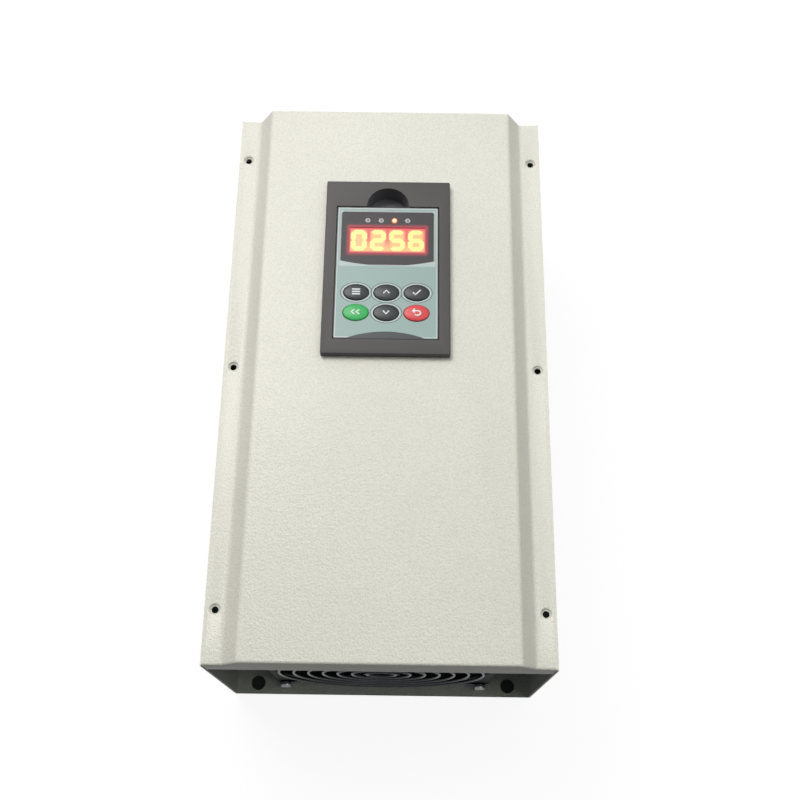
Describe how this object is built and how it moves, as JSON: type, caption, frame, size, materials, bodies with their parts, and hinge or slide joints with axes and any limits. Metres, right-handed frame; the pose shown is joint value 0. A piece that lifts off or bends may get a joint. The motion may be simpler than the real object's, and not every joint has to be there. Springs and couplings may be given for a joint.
{
  "type": "induction heating machine",
  "caption": "Wall-mounted induction heating controller in a folded steel case, with a lift-out keypad, lit display, oval keys and a guarded fan in its open end.",
  "frame": {"origin": "middle of the flat back face, with the case lying on its back", "axes": "+X across the case, +Y from its bottom end to its top end, +Z out through the front cover"},
  "size_m": [0.21, 0.38, 0.1692],
  "materials": {
    "cover_paint": "textured powder coat, satin",
    "case_paint": "textured powder coat, satin",
    "black_rubber": "matt",
    "brass_parts": "machined",
    "fan_black": "black paint on die-cast metal",
    "rotor_black": "moulded, matt",
    "copper": "bright copper",
    "bronze": "sintered bronze",
    "chrome_wire": "bright plated wire",
    "zinc_screws": "zinc plated",
    "lead_black": "matt",
    "bare_aluminium": "extruded, bare",
    "module_black": "moulded, matt",
    "board_green": "lacquered board",
    "board_blue": "lacquered board",
    "can_sleeve": "shrunk sleeve",
    "film_case": "moulded",
    "sensor_blue": "moulded",
    "terminal_green": "moulded",
    "ribbon_grey": "flexible",
    "tray_black": "fine spark texture",
    "housing_grey": "moulded, matt",
    "face_sheet": "printed polyester sheet",
    "tinted_window": "tinted, gloss",
    "display_red": "diffused lens",
    "digit_glow": "lit",
    "lamp_clear": "diffused lens",
    "lamp_orange": "lit",
    "key_dark": "moulded, satin",
    "key_green": "moulded, satin",
    "key_red": "moulded, satin"
  },
  "bodies": {
    "case": {"front_cover": "cover_paint", "chassis": "case_paint", "bottom_end_panel": "case_paint", "top_end_panel": "case_paint", "cable_grommet_left": "black_rubber", "cable_grommet_right": "black_rubber", "earth_stud": "brass_parts", "power_board_posts": "brass_parts", "control_board_posts": "brass_parts", "fan_frame": "fan_black", "fan_stator": "copper", "output_busbars": "copper", "filter_choke": "copper", "fan_bearings": "bronze", "fan_guard": "chrome_wire", "fan_screws": "zinc_screws", "heat_sink_screws": "zinc_screws", "module_screws": "zinc_screws", "terminal_screws": "zinc_screws", "thermostat": "zinc_screws", "fan_lead": "lead_black", "heat_sink": "bare_aluminium", "transistor_module_1": "module_black", "transistor_module_2": "module_black", "rectifier_module": "module_black", "terminal_block": "module_black", "control_chips": "module_black", "power_board": "board_green", "control_board": "board_blue", "bus_capacitor_1": "can_sleeve", "bus_capacitor_2": "can_sleeve", "bus_capacitor_3": "can_sleeve", "bus_capacitor_4": "can_sleeve", "resonant_capacitor_1": "film_case", "resonant_capacitor_2": "film_case", "start_resistor": "film_case", "keypad_socket": "film_case", "current_sensor": "sensor_blue", "start_relay": "sensor_blue", "control_terminals": "terminal_green", "keypad_ribbon": "ribbon_grey", "keypad_tray": "tray_black"},
    "fan_wheel": {"fan_rotor": "rotor_black"},
    "keypad": {"keypad_housing": "housing_grey", "keypad_back": "housing_grey", "keypad_faceplate": "face_sheet", "display_window": "tinted_window", "led_display": "display_red", "lit_segments": "digit_glow", "indicator_lamps": "lamp_clear", "indicator_lamp_lit": "lamp_orange", "keypad_board": "board_green", "key_switches": "housing_grey"},
    "program_key": {"key_program": "key_dark"},
    "up_key": {"key_up": "key_dark"},
    "enter_key": {"key_enter": "key_dark"},
    "shift_key": {"key_shift": "key_green"},
    "down_key": {"key_down": "key_dark"},
    "back_key": {"key_back": "key_red"}
  },
  "joints": [
    {"name": "fan_spin", "type": "hinge", "parent": "case", "child": "fan_wheel", "pos_m": [0, -0.1565, 0.077], "axis": [0, 1, 0], "continuous": true},
    {"name": "keypad_lift", "type": "slide", "parent": "case", "child": "keypad", "axis": [0, 0, 1], "range_m": [0, 0.03]},
    {"name": "program_press", "type": "slide", "parent": "keypad", "child": "program_key", "axis": [0, 0, -1], "range_m": [0, 0.0006], "stiffness_N_per_m": 300, "springref_m": -0.0004},
    {"name": "up_press", "type": "slide", "parent": "keypad", "child": "up_key", "axis": [0, 0, -1], "range_m": [0, 0.0006], "stiffness_N_per_m": 300, "springref_m": -0.0004},
    {"name": "enter_press", "type": "slide", "parent": "keypad", "child": "enter_key", "axis": [0, 0, -1], "range_m": [0, 0.0006], "stiffness_N_per_m": 300, "springref_m": -0.0004},
    {"name": "shift_press", "type": "slide", "parent": "keypad", "child": "shift_key", "axis": [0, 0, -1], "range_m": [0, 0.0006], "stiffness_N_per_m": 300, "springref_m": -0.0004},
    {"name": "down_press", "type": "slide", "parent": "keypad", "child": "down_key", "axis": [0, 0, -1], "range_m": [0, 0.0006], "stiffness_N_per_m": 300, "springref_m": -0.0004},
    {"name": "back_press", "type": "slide", "parent": "keypad", "child": "back_key", "axis": [0, 0, -1], "range_m": [0, 0.0006], "stiffness_N_per_m": 300, "springref_m": -0.0004}
  ]
}
